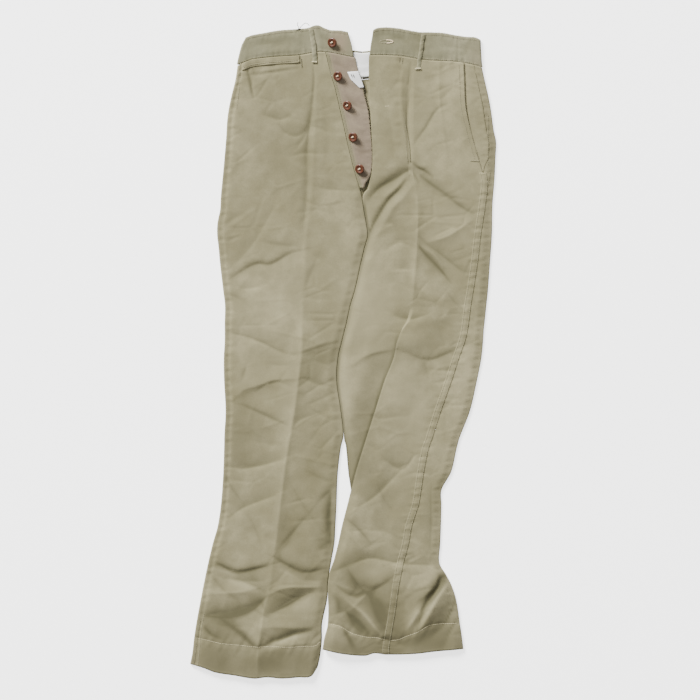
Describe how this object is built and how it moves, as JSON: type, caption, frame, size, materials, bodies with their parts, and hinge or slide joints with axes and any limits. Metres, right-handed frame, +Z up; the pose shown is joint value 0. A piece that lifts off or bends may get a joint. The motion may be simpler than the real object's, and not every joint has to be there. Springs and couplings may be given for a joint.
{
  "type": "trousers",
  "caption": "Cotton twill chino trousers laid flat on their back, button fly undone, with waistband, side pockets, watch pocket welt, belt loops and turned-up hems",
  "frame": {"origin": "bottom centre of the bounding box, on the surface that the trousers lie on", "axes": "+Y towards the waist, +Z up from the surface through the fronts, +X to the wearer's left"},
  "size_m": [0.5088, 1.0889, 0.0131],
  "materials": {
    "twill": "matt",
    "twill_shade": "matt",
    "white_cloth": "matt",
    "button": "gloss"
  },
  "bodies": {
    "root": {"front_right": "twill", "front_left": "twill", "back_right": "twill", "back_left": "twill", "waistband_right": "twill", "waistband_left": "twill", "waistband_lining": "white_cloth", "button_stand": "twill_shade", "buttonhole_facing": "twill_shade", "pocket_facing_left": "twill", "outseam_fell_left": "twill", "watch_pocket_welt": "twill", "belt_loop_right": "twill", "belt_loop_left": "twill", "tag": "white_cloth", "button_1": "button", "button_2": "button", "button_3": "button", "button_4": "button", "button_5": "button"}
  },
  "joints": []
}
